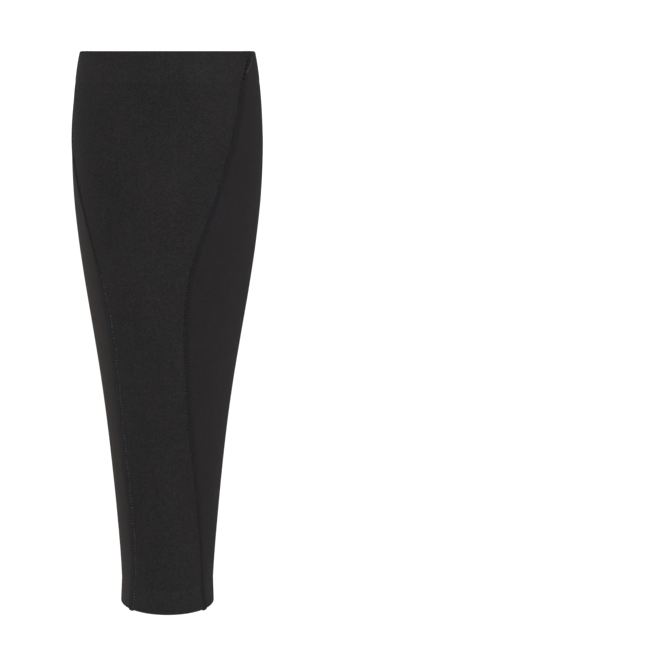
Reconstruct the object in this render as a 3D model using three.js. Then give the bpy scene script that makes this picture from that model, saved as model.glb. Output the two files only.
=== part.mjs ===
// A calf compression sleeve: a footless knitted tube, in the form that it has round a lower leg.
// Two knitted panels are joined by two flat seams, and both rims are turned in and hemmed.
// Millimetres, +Z up the leg, the shin side faces -Y.
// The origin is on the leg's axis, at the height where the calf is fullest.
import * as THREE from 'three';

// Heights along the leg
const CALF_TO_UPPER_RIM = 57;
const CALF_TO_LOWER_RIM = 280;
const UPPER_HEM = 18.5;
const LOWER_HEM = 15.5;

// Outside sizes round the fullest calf and round the ankle; shin and back are measured from the leg's axis
const CALF_WIDTH = 115;
const CALF_SHIN = 52;
const CALF_BACK = 66;
const ANKLE_WIDTH = 56.5;
const ANKLE_SHIN = 35.5;
const ANKLE_BACK = 36.5;

// Cloth: one layer in the panels, two in the hems, whose inner layer laps behind the panels' ends
const FABRIC = 1.4;
const HEM_LAP = 2.5;
const CLEARANCE = 0.3;

// Flat seams: each lies in a shallow channel and turns in over both rims
const SEAM_WIDTH = 3.4;
const SEAM_THICKNESS = 0.6;
const SEAM_EDGE = 0.4;
const SEAM_SINK = 0.5;
const SEAM_TURN_IN = 3;

// A seam's slope is measured over this height on both sides
const SLOPE_STEP = 1;

// Finishes of the front panel, the back panel, the hems and the seams
const FRONT_BLACK = 0x292829;
const BACK_BLACK = 0x2d2b2b;
const HEM_BLACK = 0x2b292a;
const SEAM_BLACK = 0x232429;
const ROUGHNESS = 0.95;

// How finely the curved walls are cut into flat faces
const FRONT_COLUMNS = 14;
const BACK_COLUMNS = 22;
const PANEL_ROWS = 24;
const HEM_ROWS = 2;
const RIM_STEPS = 6;

// Outline of the leg. height: 1 is the upper rim, 0 the fullest calf, -1 the lower rim.
// width, shin and back: 0 is the size at the ankle, 1 the size at the calf.
const SECTIONS = [
  { height: -1, width: 0.016, shin: 0.03, back: 0.018 },
  { height: -0.98, width: 0.007, shin: 0.015, back: 0.008 },
  { height: -0.95, width: -0.002, shin: 0.01, back: 0 },
  { height: -0.9, width: 0.02, shin: 0.03, back: 0.017 },
  { height: -0.8, width: 0.096, shin: 0.095, back: 0.068 },
  { height: -0.7, width: 0.186, shin: 0.19, back: 0.142 },
  { height: -0.6, width: 0.291, shin: 0.3, back: 0.24 },
  { height: -0.5, width: 0.419, shin: 0.435, back: 0.366 },
  { height: -0.4, width: 0.571, shin: 0.575, back: 0.52 },
  { height: -0.3, width: 0.73, shin: 0.72, back: 0.695 },
  { height: -0.2, width: 0.868, shin: 0.855, back: 0.858 },
  { height: -0.1, width: 0.966, shin: 0.96, back: 0.966 },
  { height: 0, width: 1, shin: 1, back: 1 },
  { height: 0.2, width: 0.99, shin: 1, back: 0.98 },
  { height: 0.5, width: 0.956, shin: 0.985, back: 0.908 },
  { height: 0.8, width: 0.894, shin: 0.95, back: 0.807 },
  { height: 1, width: 0.829, shin: 0.91, back: 0.71 },
];

// Where the seams run, in degrees round the leg from the middle of the shin
const SEAM_LINES = [
  { height: -1, left: -49.3, right: 52.8 },
  { height: -0.9, left: -43, right: 46.7 },
  { height: -0.8, left: -42.6, right: 38.7 },
  { height: -0.7, left: -45, right: 30 },
  { height: -0.6, left: -46.5, right: 22.5 },
  { height: -0.5, left: -46.2, right: 17.5 },
  { height: -0.4, left: -46.3, right: 14.1 },
  { height: -0.3, left: -49.6, right: 14.4 },
  { height: -0.21, left: -55.5, right: 19.9 },
  { height: -0.13, left: -62.3, right: 28 },
  { height: -0.05, left: -72.5, right: 36 },
  { height: 0.05, left: -82.5, right: 42 },
  { height: 0.3, left: -90.5, right: 47.2 },
  { height: 0.6, left: -97.5, right: 52.4 },
  { height: 0.8, left: -103.5, right: 58.1 },
  { height: 0.9, left: -107.5, right: 63.2 },
  { height: 1, left: -112, right: 68.5 },
];

const { lerp, degToRad } = THREE.MathUtils;

// Smooth curve through a table: gives its columns at any height in millimetres
function smooth(table) {
  const columns = Object.keys(table[0]).filter((name) => name !== 'height');
  const heights = table.map((row) => row.height * (row.height > 0 ? CALF_TO_UPPER_RIM : CALF_TO_LOWER_RIM));
  const values = table.flatMap((row) => columns.map((name) => row[name]));
  const curve = new THREE.CubicInterpolant(heights, values, columns.length);
  return (height) => {
    const found = curve.evaluate(height);
    return Object.fromEntries(columns.map((name, index) => [name, found[index]]));
  };
}

const sectionAt = smooth(SECTIONS);
const seamLineAt = smooth(SEAM_LINES);

// Half axes of the outline on the side that an angle looks to: across the leg, and to the shin or the back
function halfAxes(angle, height) {
  const share = sectionAt(height);
  const across = lerp(ANKLE_WIDTH, CALF_WIDTH, share.width) / 2;
  const shin = lerp(ANKLE_SHIN, CALF_SHIN, share.shin);
  const back = lerp(ANKLE_BACK, CALF_BACK, share.back);
  return { across, deep: Math.cos(angle) > 0 ? shin : back };
}

// Point at an angle round the leg, the given distance outside the sleeve's outer face
function place(angle, height, outside) {
  const { across, deep } = halfAxes(angle, height);
  const point = new THREE.Vector2(across * Math.sin(angle), -deep * Math.cos(angle));
  const outward = new THREE.Vector2(Math.sin(angle) / across, -Math.cos(angle) / deep).normalize();
  point.addScaledVector(outward, outside);
  return new THREE.Vector3(point.x, point.y, height);
}

// Angle of a line beside a seam: its distance from the seam's middle is measured square to the seam
function besideSeam(side, height, distance) {
  const angle = degToRad(seamLineAt(height)[side]);
  const low = Math.max(height - SLOPE_STEP, -CALF_TO_LOWER_RIM);
  const high = Math.min(height + SLOPE_STEP, CALF_TO_UPPER_RIM);
  const turn = degToRad(seamLineAt(high)[side] - seamLineAt(low)[side]) / (high - low);
  const { across, deep } = halfAxes(angle, height);
  const reach = Math.hypot(across * Math.cos(angle), deep * Math.sin(angle));
  return angle + (distance * Math.hypot(1, turn * reach)) / reach;
}

// Lines beside a seam: the floor of its channel ends at one, and the full cloth starts at the other
const CHANNEL = SEAM_WIDTH / 2 + CLEARANCE;
const SHOULDER = CHANNEL + SEAM_SINK;

// Columns of one panel at a height, from its first seam to its second, each with its angle and sink.
// The first and last lie the given distance from the middle of the seams.
function panelColumns(first, second, count, edge, height) {
  const start = besideSeam(first, height, SHOULDER);
  const stop = besideSeam(second, height, -SHOULDER);
  const around = stop < start ? 2 * Math.PI : 0;
  const columns = [
    { angle: besideSeam(first, height, edge), sink: SEAM_SINK },
    { angle: besideSeam(first, height, CHANNEL), sink: SEAM_SINK },
  ];
  for (let column = 0; column <= count; column++) {
    columns.push({ angle: lerp(start, stop + around, column / count), sink: 0 });
  }
  columns.push({ angle: besideSeam(second, height, -CHANNEL) + around, sink: SEAM_SINK });
  columns.push({ angle: besideSeam(second, height, -edge) + around, sink: SEAM_SINK });
  return columns;
}

function frontColumns(edge, height) {
  return panelColumns('left', 'right', FRONT_COLUMNS, edge, height);
}

function backColumns(edge, height) {
  return panelColumns('right', 'left', BACK_COLUMNS, edge, height);
}

// All columns round a hem, whose cloth passes under the seams in one piece
function hemColumns(height) {
  const front = frontColumns(0, height);
  const back = backColumns(0, height);
  return [...front.slice(0, -1), ...back.slice(0, -1)];
}

// Closed body through loops of points, or a ring where the last loop joins the first
function loft(loops, isRing) {
  const sides = loops[0].length;
  const faces = [];
  const quad = (a, b, c, d) => faces.push(a, b, c, a, c, d);
  const spans = isRing ? loops.length : loops.length - 1;
  for (let span = 0; span < spans; span++) {
    const here = span * sides;
    const next = ((span + 1) % loops.length) * sides;
    for (let side = 0; side < sides; side++) {
      const after = (side + 1) % sides;
      quad(here + side, here + after, next + after, next + side);
    }
  }
  if (!isRing) {
    const last = (loops.length - 1) * sides;
    for (let side = 0; side < sides / 2 - 1; side++) {
      const across = sides - 1 - side;
      quad(side, across, across - 1, side + 1);
      quad(last + side, last + side + 1, last + across - 1, last + across);
    }
  }
  const geometry = new THREE.BufferGeometry();
  const positions = loops.flat().flatMap((point) => point.toArray());
  geometry.setAttribute('position', new THREE.Float32BufferAttribute(positions, 3));
  geometry.setIndex(faces);
  geometry.computeVertexNormals();
  return geometry;
}

// Evenly spaced values from one number to another, both included
function spaced(from, to, spans) {
  return Array.from({ length: spans + 1 }, (_, index) => lerp(from, to, index / spans));
}

// The two rims: height of the rim, which way it points, and how tall its hem is
const UPPER = { rim: CALF_TO_UPPER_RIM, up: 1, hem: UPPER_HEM };
const LOWER = { rim: -CALF_TO_LOWER_RIM, up: -1, hem: LOWER_HEM };

// Stations of a rim's skin, from the hem's stitch line along the outside, round the rim and back inside.
// outside is the distance from the sleeve's outer face; out and along are the skin's own facing.
function rimStations({ rim, up, hem }, turnIn) {
  const depths = spaced(hem - CLEARANCE / 2, FABRIC, HEM_ROWS).slice(0, -1);
  const stations = depths.map((depth) => ({ height: rim - up * depth, outside: 0, out: 1, along: 0 }));
  for (const turn of spaced(0, Math.PI, RIM_STEPS)) {
    const out = Math.cos(turn);
    const along = up * Math.sin(turn);
    stations.push({ height: rim - up * FABRIC + FABRIC * along, outside: FABRIC * (out - 1), out, along });
  }
  stations.push({ height: rim - up * (FABRIC + turnIn), outside: -2 * FABRIC, out: -1, along: 0 });
  return stations;
}

// A panel: one layer of cloth between the hems, thinner where the seams lie on its edges
function panel(columnsAt) {
  const low = LOWER.rim + LOWER.hem + CLEARANCE / 2;
  const high = UPPER.rim - UPPER.hem - CLEARANCE / 2;
  const loops = spaced(low, high, PANEL_ROWS).map((height) => {
    const columns = columnsAt(CLEARANCE / 2, height);
    const outer = columns.map(({ angle, sink }) => place(angle, height, -sink));
    const inner = columns.map(({ angle }) => place(angle, height, -FABRIC));
    return [...outer, ...inner.reverse()];
  });
  return loft(loops, false);
}

// A hem: cloth turned in over the rim, its raw edge lapping behind the ends of the panels
function hem(end) {
  const { rim, up, hem: tall } = end;
  const skin = rimStations(end, SEAM_TURN_IN);
  const seamed = skin.length;
  const turnEnd = rim - up * (FABRIC + SEAM_TURN_IN);
  const rawEdge = rim - up * (tall + HEM_LAP);
  const stitchLine = rim - up * (tall - CLEARANCE / 2);
  const profile = [
    ...skin,
    { height: (turnEnd + rawEdge) / 2, outside: -2 * FABRIC },
    { height: rawEdge, outside: -2 * FABRIC },
    { height: rawEdge, outside: -FABRIC - CLEARANCE },
    { height: stitchLine, outside: -FABRIC - CLEARANCE },
  ];
  const rings = profile.map((station, index) => {
    return hemColumns(station.height).map(({ angle, sink }) => {
      const depth = index < seamed ? sink : 0;
      const { height, outside, out = 0, along = 0 } = station;
      const point = place(angle, height, outside - depth * out);
      point.z -= depth * along;
      return point;
    });
  });
  if (up > 0) rings.reverse();
  const loops = rings[0].map((_, column) => rings.map((ring) => ring[column]));
  return loft(loops, true);
}

// A seam: a flat band with a low crown, from inside the lower rim, up the outside and in over the upper rim
function seam(side) {
  const turnIn = SEAM_TURN_IN - SEAM_SINK;
  const low = LOWER.rim + LOWER.hem + CLEARANCE / 2;
  const high = UPPER.rim - UPPER.hem - CLEARANCE / 2;
  const path = [
    ...rimStations(LOWER, turnIn).reverse(),
    ...spaced(low, high, PANEL_ROWS).map((height) => ({ height, outside: 0, out: 1, along: 0 })),
    ...rimStations(UPPER, turnIn),
  ];
  const floor = CLEARANCE - SEAM_SINK;
  const edge = SEAM_WIDTH / 2;
  const crown = edge / 2;
  const section = [
    { across: -edge, rise: floor + SEAM_EDGE },
    { across: -crown, rise: floor + SEAM_THICKNESS },
    { across: crown, rise: floor + SEAM_THICKNESS },
    { across: edge, rise: floor + SEAM_EDGE },
    { across: edge, rise: floor },
    { across: crown, rise: floor },
    { across: -crown, rise: floor },
    { across: -edge, rise: floor },
  ];
  const loops = path.map(({ height, outside, out, along }) => {
    return section.map(({ across, rise }) => {
      const point = place(besideSeam(side, height, across), height, outside + rise * out);
      point.z += rise * along;
      return point;
    });
  });
  return loft(loops, false);
}

function finish(name, color) {
  return new THREE.MeshStandardMaterial({ name, color, roughness: ROUGHNESS, metalness: 0 });
}

function piece(name, geometry, material) {
  const mesh = new THREE.Mesh(geometry, material);
  mesh.name = name;
  return mesh;
}

const sleeve = new THREE.Group();
sleeve.name = 'calf_compression_sleeve';
sleeve.add(piece('front_panel', panel(frontColumns), finish('front_knit', FRONT_BLACK)));
sleeve.add(piece('back_panel', panel(backColumns), finish('back_knit', BACK_BLACK)));
sleeve.add(piece('top_hem', hem(UPPER), finish('hem_knit', HEM_BLACK)));
sleeve.add(piece('bottom_hem', hem(LOWER), finish('hem_knit', HEM_BLACK)));
sleeve.add(piece('seam_right', seam('right'), finish('seam_thread', SEAM_BLACK)));
sleeve.add(piece('seam_left', seam('left'), finish('seam_thread', SEAM_BLACK)));

export default sleeve;
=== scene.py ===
"""A calf compression sleeve: knitted panels, flat seams and hems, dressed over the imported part."""

import math

import bpy
import numpy as np
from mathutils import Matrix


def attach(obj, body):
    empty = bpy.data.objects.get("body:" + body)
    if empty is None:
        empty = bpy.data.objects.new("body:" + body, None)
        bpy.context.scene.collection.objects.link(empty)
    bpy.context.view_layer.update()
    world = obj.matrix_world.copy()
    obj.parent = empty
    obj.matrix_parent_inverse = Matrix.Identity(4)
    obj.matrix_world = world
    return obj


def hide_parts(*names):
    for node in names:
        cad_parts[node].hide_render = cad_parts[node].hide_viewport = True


bl_info = {
    "name": "Calf compression sleeve",
    "version": (1, 0, 0),
    "blender": (4, 5, 0),
    "location": "3D View > Sidebar > Sleeve",
    "description": "Makes the sleeve's knitted panels, flat seams and hems, and a plain stage",
    "category": "Object",
}

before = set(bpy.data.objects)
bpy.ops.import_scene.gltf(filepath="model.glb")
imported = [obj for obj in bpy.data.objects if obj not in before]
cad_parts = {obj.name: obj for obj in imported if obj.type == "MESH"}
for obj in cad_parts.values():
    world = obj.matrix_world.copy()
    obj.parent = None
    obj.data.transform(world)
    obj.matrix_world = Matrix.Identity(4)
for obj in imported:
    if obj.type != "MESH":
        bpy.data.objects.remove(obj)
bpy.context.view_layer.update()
MM = 0.001

# Outline of the leg: height, width, shin and back. The height is 1 at the upper rim, 0 at the fullest calf
# and -1 at the lower rim. The others are 0 for the size at the ankle and 1 for the size at the calf.
SECTIONS = [
    (-1, 0.016, 0.03, 0.018),
    (-0.98, 0.007, 0.015, 0.008),
    (-0.95, -0.002, 0.01, 0),
    (-0.9, 0.02, 0.03, 0.017),
    (-0.8, 0.096, 0.095, 0.068),
    (-0.7, 0.186, 0.19, 0.142),
    (-0.6, 0.291, 0.3, 0.24),
    (-0.5, 0.419, 0.435, 0.366),
    (-0.4, 0.571, 0.575, 0.52),
    (-0.3, 0.73, 0.72, 0.695),
    (-0.2, 0.868, 0.855, 0.858),
    (-0.1, 0.966, 0.96, 0.966),
    (0, 1, 1, 1),
    (0.2, 0.99, 1, 0.98),
    (0.5, 0.956, 0.985, 0.908),
    (0.8, 0.894, 0.95, 0.807),
    (1, 0.829, 0.91, 0.71),
]

# Where the seams run: height as above, then the left and the right seam's degrees round the leg from the
# middle of the shin
SEAM_LINES = [
    (-1, -51.3, 52.8),
    (-0.9, -45, 46.7),
    (-0.8, -44.5, 38.7),
    (-0.7, -46.8, 30),
    (-0.6, -48.2, 22.5),
    (-0.5, -47.7, 17.5),
    (-0.4, -47.2, 14.1),
    (-0.3, -50.3, 14.4),
    (-0.21, -56.2, 19.9),
    (-0.13, -63.8, 28),
    (-0.05, -73.8, 36),
    (0.05, -83.3, 42),
    (0.3, -90.5, 47.2),
    (0.6, -97.5, 52.4),
    (0.8, -103.5, 58.1),
    (0.9, -107.5, 63.2),
    (1, -112, 68.5),
]

# Lines beside a seam, in millimetres from its middle, that the finely cut strips of cloth pass through
STRIP_LINES = [0.15, 0.6, 0.85, 1.0, 1.15, 1.3, 1.5, 1.75, 2.1, 2.8]

# Light loops at the needle holes, in millimetres. below: how far below the calf they start. start, stop:
# their place from the seam's front edge. radius: least and largest. holes: depth of the last hole.
LIGHT_LOOPS = {
    "left": {"below": 74, "start": -0.7, "stop": 0.1, "radius": (0.14, 0.42), "holes": 74},
    "right": {"below": 15, "start": -0.5, "stop": -0.1, "radius": (0.02, 0.2), "holes": 290},
}

# Gaps beside each seam in the upper hem, in millimetres below the rim, shown by dark blobs of painted shade
HEM_GAPS = [5.9, 8.4, 10.3, 13.4, 16]

# Which way the front panel lies from each seam's middle
FRONT_SIDE = {"left": 1, "right": -1}

# Points along the outer face of a hem, round its rim, and along the wall between the hems
HEM_POINTS = 40
RIM_POINTS = 25
WALL_POINTS = 200

# A seam's width next to its usual one. plain: nearly everywhere. calf: what it gains over the calf. low: what
# it gains at the lower hem and along the left seam's lower part. pinch: what it loses in the upper hem.
WIDTHS = {"plain": 0.9, "calf": 0.48, "low": 0.45, "pinch": 0.4}

# Where these come in: measured from the upper rim, and for the lower hem from its stitch line
CALF_SPAN = (-105 * MM, -45 * MM)
LEFT_LOW_SPAN = (-110 * MM, -150 * MM)
LOWER_HEM_SPAN = (4 * MM, -4 * MM)
PINCH_DEPTH = 11 * MM
PINCH_LENGTH = 5 * MM


def length(name, description, millimetres):
    """Property for a size of the sleeve."""
    return bpy.props.FloatProperty(
        name=name, description=description, default=millimetres * MM, unit="LENGTH", precision=5
    )


def colour(name, description, red, green, blue):
    """Property for a finish's colour."""
    return bpy.props.FloatVectorProperty(
        name=name, description=description, default=(red, green, blue), subtype="COLOR", size=3, min=0, max=1
    )


class SleeveSizes(bpy.types.PropertyGroup):
    """Sizes of the sleeve as it is worn."""

    calf_to_upper_rim: length("Calf to upper rim", "Height of the upper rim over the fullest calf", 57)
    calf_to_lower_rim: length("Calf to lower rim", "Depth of the lower rim under the fullest calf", 280)
    upper_hem: length("Upper hem", "Height of the hem under the knee", 18.5)
    lower_hem: length("Lower hem", "Height of the hem over the ankle", 15.5)
    calf_width: length("Calf width", "Outside width at the fullest calf", 115)
    calf_shin: length("Calf to shin", "Leg's axis to the shin at the fullest calf", 52)
    calf_back: length("Calf to back", "Leg's axis to the back of the fullest calf", 66)
    ankle_width: length("Ankle width", "Outside width over the ankle", 56.5)
    ankle_shin: length("Ankle to shin", "Leg's axis to the shin over the ankle", 35.5)
    ankle_back: length("Ankle to back", "Leg's axis to the back over the ankle", 36.5)
    fabric: length("Fabric", "Thickness of one layer of cloth", 1.4)
    hem_lap: length("Hem lap", "How far a hem's raw edge reaches behind its panel", 2.5)
    seam_width: length("Seam width", "Width of a flat seam", 3.4)
    seam_sink: length("Seam sink", "Depth of the channel that a seam lies in", 0.5)
    bed_margin: length("Bed margin", "Cloth between a seam's front edge and its bed of threads", 0.85)
    hole_row: length("Hole row", "Needle holes' distance in from a seam's front edge", 0.28)
    stitch: length("Stitch", "Length of one stitch of a flat seam", 1.7)
    hem_stitch: length("Hem stitch", "Length of one stitch of a hem", 2.6)
    thread: length("Thread", "Thickness of a sewing thread", 0.3)


class SleeveColours(bpy.types.PropertyGroup):
    """Colours of the sleeve's cloth and threads."""

    front_dark: colour("Front, dark", "Dark grains of the front panel", 0.0113, 0.0107, 0.0113)
    front_light: colour("Front, light", "Light grains of the front panel", 0.0242, 0.0223, 0.0229)
    front_cool: colour("Front, cool", "Cool grains of the front panel", 0.0204, 0.0221, 0.0241)
    back_dark: colour("Back, dark", "Dark grains of the back panel", 0.0125, 0.0111, 0.012)
    back_light: colour("Back, light", "Light grains of the back panel", 0.022, 0.0185, 0.0197)
    back_cool: colour("Back, cool", "Cool grains of the back panel", 0.0179, 0.019, 0.0217)
    # Painted highlight: the folded cord's colour, much lighter than the back panel's, for the light the cord
    # catches
    fold_highlight: colour("Fold, light", "Light grains of the cloth folded beside a seam", 0.054, 0.053, 0.06)
    thread_dark: colour("Thread, dark", "Dark side of the seam's threads", 0.0097, 0.0098, 0.0118)
    thread_light: colour("Thread, light", "Light side of the seam's threads", 0.019, 0.0187, 0.0224)
    # Painted shade: the nearly black colour of the blobs put where the needle holes and the hem's gaps lie in
    # shade
    hole_shade: colour("Hole, dark", "Depth of the needle holes", 0.002, 0.002, 0.0025)
    loop_light: colour("Loop, light", "Small light loops beside the needle holes", 0.062, 0.06, 0.069)
    floor: colour("Floor", "Pale floor", 0.92, 0.92, 0.92)


# Shape of the sleeve


def smooth(table, sizes):
    """Function of height through a table's rows; a row's slope is the mean of the slopes of its two spans."""
    shares, values = np.split(np.array(table), [1], axis=1)
    heights = shares[:, 0] * np.where(shares[:, 0] > 0, sizes.calf_to_upper_rim, sizes.calf_to_lower_rim)
    spans = np.diff(heights)
    secants = np.diff(values, axis=0) / spans[:, None]
    slopes = np.vstack([secants[:1], (secants[:-1] + secants[1:]) / 2, secants[-1:]])

    def at(height):
        height = np.clip(height, heights[0], heights[-1])
        row = np.clip(np.searchsorted(heights, height) - 1, 0, len(spans) - 1)
        span = spans[row]
        share = (height - heights[row]) / span
        start = (1 + 2 * share) * (1 - share) ** 2
        leave = share * (1 - share) ** 2 * span
        arrive = -(share**2) * (1 - share) * span
        found = (
            start[..., None] * values[row]
            + (1 - start)[..., None] * values[row + 1]
            + leave[..., None] * slopes[row]
            + arrive[..., None] * slopes[row + 1]
        )
        return [found[..., column] for column in range(values.shape[1])]

    return at


def mix(first, second, share):
    """Value at a share of the way from the first to the second."""
    return first + (second - first) * share


def soft_step(low, high, value):
    """0 below low, 1 above high, and a smooth rise between them."""
    share = np.clip((value - low) / (high - low), 0, 1)
    return share * share * (3 - 2 * share)


def bell(value, width):
    """Smooth bump, 1 at zero and small past its width."""
    return np.exp(-((value / width) ** 2))


class Form:
    """The sleeve's outer face. Angles go round the leg from the middle of the shin."""

    def __init__(self, sizes):
        self.sizes = sizes
        self.section = smooth(SECTIONS, sizes)
        self.seam_line = smooth(SEAM_LINES, sizes)
        self.make_trace()

    def half_axes(self, angle, height):
        """Half axes of the outline on the side that an angle looks to: across the leg, and in its depth."""
        size = self.sizes
        width, shin, back = self.section(height)
        across = mix(size.ankle_width, size.calf_width, width) / 2
        front = mix(size.ankle_shin, size.calf_shin, shin)
        rear = mix(size.ankle_back, size.calf_back, back)
        return across, np.where(np.cos(angle) > 0, front, rear)

    def place(self, angle, height, outside, lift=0):
        """Points at an angle and height, moved outwards and then up."""
        angle, height, outside, lift = np.broadcast_arrays(angle, height, outside, lift)
        across, deep = self.half_axes(angle, height)
        out_x = np.sin(angle) / across
        out_y = -np.cos(angle) / deep
        size = np.hypot(out_x, out_y)
        x = across * np.sin(angle) + outside * out_x / size
        y = -deep * np.cos(angle) + outside * out_y / size
        return np.stack([x, y, height + lift], axis=-1)

    def seam_angle(self, side, height):
        """Angle of a seam's middle."""
        left, right = self.seam_line(height)
        return np.radians(left if side == "left" else right)

    def beside_seam(self, side, height, distance):
        """Angle of a line beside a seam, at a distance measured square to the seam."""
        height, distance = np.broadcast_arrays(height, distance)
        angle = self.seam_angle(side, height)
        low = np.maximum(height - MM, -self.sizes.calf_to_lower_rim)
        high = np.minimum(height + MM, self.sizes.calf_to_upper_rim)
        turn = (self.seam_angle(side, high) - self.seam_angle(side, low)) / (high - low)
        across, deep = self.half_axes(angle, height)
        reach = np.hypot(across * np.cos(angle), deep * np.sin(angle))
        return angle + distance * np.hypot(1, turn * reach) / reach

    def rim_trace(self, rim, up, hem):
        """Profile of a hem's skin, from its stitch line along the outside, round the rim and back inside."""
        fabric = self.sizes.fabric
        outer = np.linspace(hem, fabric, HEM_POINTS)[:-1]
        turn = np.linspace(0, math.pi, RIM_POINTS)
        inner = np.linspace(fabric, hem + self.sizes.hem_lap, HEM_POINTS)[1:]
        height = np.concatenate([-outer, -fabric + fabric * np.sin(turn), -inner])
        outside = np.concatenate([0 * outer, fabric * (np.cos(turn) - 1), 0 * inner - 2 * fabric])
        out = np.concatenate([0 * outer + 1, np.cos(turn), 0 * inner - 1])
        along = np.concatenate([0 * outer, np.sin(turn), 0 * inner])
        return np.stack([rim + up * height, outside, out, up * along])

    def make_trace(self):
        """Profile of the whole skin, from the lower raw edge inside, round both rims, to the upper one."""
        size = self.sizes
        lower = self.rim_trace(-size.calf_to_lower_rim, -1, size.lower_hem)[:, ::-1]
        upper = self.rim_trace(size.calf_to_upper_rim, 1, size.upper_hem)
        heights = np.linspace(lower[0, -1], upper[0, 0], WALL_POINTS)[1:-1]
        wall = np.stack([heights, 0 * heights, 0 * heights + 1, 0 * heights])
        self.height, self.outside, self.out, self.along = np.concatenate([lower, wall, upper], axis=1)
        steps = np.hypot(np.diff(self.height), np.diff(self.outside))
        self.trace = np.concatenate([[0], np.cumsum(steps)])
        self.lower_line = self.trace[lower.shape[1] - 1]
        self.upper_line = self.trace[-upper.shape[1]]
        self.lower_rim = self.lower_line - size.lower_hem
        self.upper_rim = self.upper_line + size.upper_hem

    def skin(self, trace):
        """Height, distance outside, and the facing out and along of the skin at a length of its profile."""
        parts = (self.height, self.outside, self.out, self.along)
        return [np.interp(trace, self.trace, part) for part in parts]

    def hem_depths(self, trace):
        """How far a length along the profile lies past each hem's stitch line, and how tall that hem is."""
        size = self.sizes
        return (self.lower_line - trace, size.lower_hem), (trace - self.upper_line, size.upper_hem)

    def width_share(self, side, trace):
        """A seam's width next to its usual one: more over the calf and low down, less in the upper hem."""
        place = trace - self.upper_rim
        calf = soft_step(*CALF_SPAN, place)
        low = soft_step(*LOWER_HEM_SPAN, trace - self.lower_line)
        if side == "left":
            low = np.maximum(low, soft_step(*LEFT_LOW_SPAN, place))
        pinch = bell(place + PINCH_DEPTH, PINCH_LENGTH)
        return WIDTHS["plain"] + WIDTHS["calf"] * calf + WIDTHS["low"] * low - WIDTHS["pinch"] * pinch


class SeamLine:
    """A seam's own measures: run along it, across it, and rise from the cloth."""

    def __init__(self, form, side):
        self.form = form
        self.side = side
        angle = form.seam_angle(side, form.height)
        middle = form.place(angle, form.height, form.outside)
        steps = np.linalg.norm(np.diff(middle, axis=0), axis=1)
        self.runs = np.concatenate([[0], np.cumsum(steps)])
        self.bed_half = (form.sizes.seam_width - form.sizes.bed_margin) / 2
        self.bed_middle = -FRONT_SIDE[side] * form.sizes.bed_margin / 2

    def run_at(self, trace):
        """Run of the seam at a length along the skin's profile."""
        return np.interp(trace, self.form.trace, self.runs)

    def point(self, run, across, rise):
        """Points beside and over the seam."""
        run, across, rise = np.broadcast_arrays(run, across, rise)
        trace = np.interp(run, self.runs, self.form.trace)
        height, outside, out, along = self.form.skin(trace)
        facing = np.hypot(out, along)
        across = across * self.form.width_share(self.side, trace)
        angle = self.form.beside_seam(self.side, height, across)
        return self.form.place(angle, height, outside + rise * out / facing, rise * along / facing)

    def inner_point(self, run, across, rise):
        """Points beside the seam and over the cloth's inner face."""
        run, across, rise = np.broadcast_arrays(run, across, rise)
        height = self.form.skin(np.interp(run, self.runs, self.form.trace))[0]
        angle = self.form.beside_seam(self.side, height, across)
        return self.form.place(angle, height, -self.form.sizes.fabric - rise)


# Mesh making


def new_piece(name, points, faces, coordinates, materials, nodes, choices=None):
    """Adds a mesh piece that rides on the part and stands for its nodes."""
    mesh = bpy.data.meshes.new(name)
    mesh.from_pydata(np.asarray(points).reshape(-1, 3).tolist(), [], faces)
    layer = mesh.uv_layers.new(name="knit")
    corners = np.empty(len(mesh.loops), dtype=np.int32)
    mesh.loops.foreach_get("vertex_index", corners)
    coordinates = np.asarray(coordinates, dtype=np.float32)
    if len(coordinates) == len(mesh.vertices):
        coordinates = coordinates[corners]
    layer.data.foreach_set("uv", coordinates.ravel())
    for material in materials:
        mesh.materials.append(material)
    if choices is not None:
        mesh.polygons.foreach_set("material_index", np.asarray(choices, dtype=np.int32))
    mesh.polygons.foreach_set("use_smooth", np.ones(len(mesh.polygons), dtype=bool))
    mesh.validate()
    mesh.update()
    piece = bpy.data.objects.new(name, mesh)
    bpy.context.scene.collection.objects.link(piece)
    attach(piece, "root")
    if nodes:
        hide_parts(*nodes)
    return piece


def grid_quads(numbers):
    """Quads between neighbouring rows and columns of a table of point numbers."""
    corners = [numbers[:-1, :-1], numbers[:-1, 1:], numbers[1:, 1:], numbers[1:, :-1]]
    return np.stack(corners, axis=-1).reshape(-1, 4)


def strings(centres, ups, radius, sides=6):
    """Round strings along rows of centre points: their points and faces."""
    strands, steps, _ = centres.shape
    forward = np.gradient(centres, axis=1)
    forward /= np.linalg.norm(forward, axis=-1, keepdims=True)
    aside = np.cross(forward, ups)
    aside /= np.linalg.norm(aside, axis=-1, keepdims=True)
    top = np.cross(aside, forward)
    turn = np.linspace(0, 2 * math.pi, sides, endpoint=False)
    ring = np.cos(turn)[:, None] * top[:, :, None, :] + np.sin(turn)[:, None] * aside[:, :, None, :]
    points = centres[:, :, None, :] + radius * ring
    numbers = np.arange(strands * steps * sides).reshape(strands, steps, sides)
    closed = np.concatenate([numbers, numbers[:, :, :1]], axis=2)
    quads = np.concatenate([grid_quads(strand) for strand in closed])
    ends = np.concatenate([numbers[:, 0, ::-1], numbers[:, -1, :]])
    return points.reshape(-1, 3), quads[:, ::-1].tolist() + ends[:, ::-1].tolist()


def beat(run, lengths):
    """Value from 0 to 1 that rises and falls along a run, never quite in step."""
    short, long = lengths
    return 0.5 + 0.5 * np.sin(run / short + 2 * np.sin(run / long))


# Lengths of the change from stitch to stitch
STITCH_BEAT = (0.74 * MM, 1.9 * MM)


def uneven(starts, low, high):
    """Sizes between low and high that differ from stitch to stitch."""
    return mix(low, high, beat(starts, STITCH_BEAT))


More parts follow.
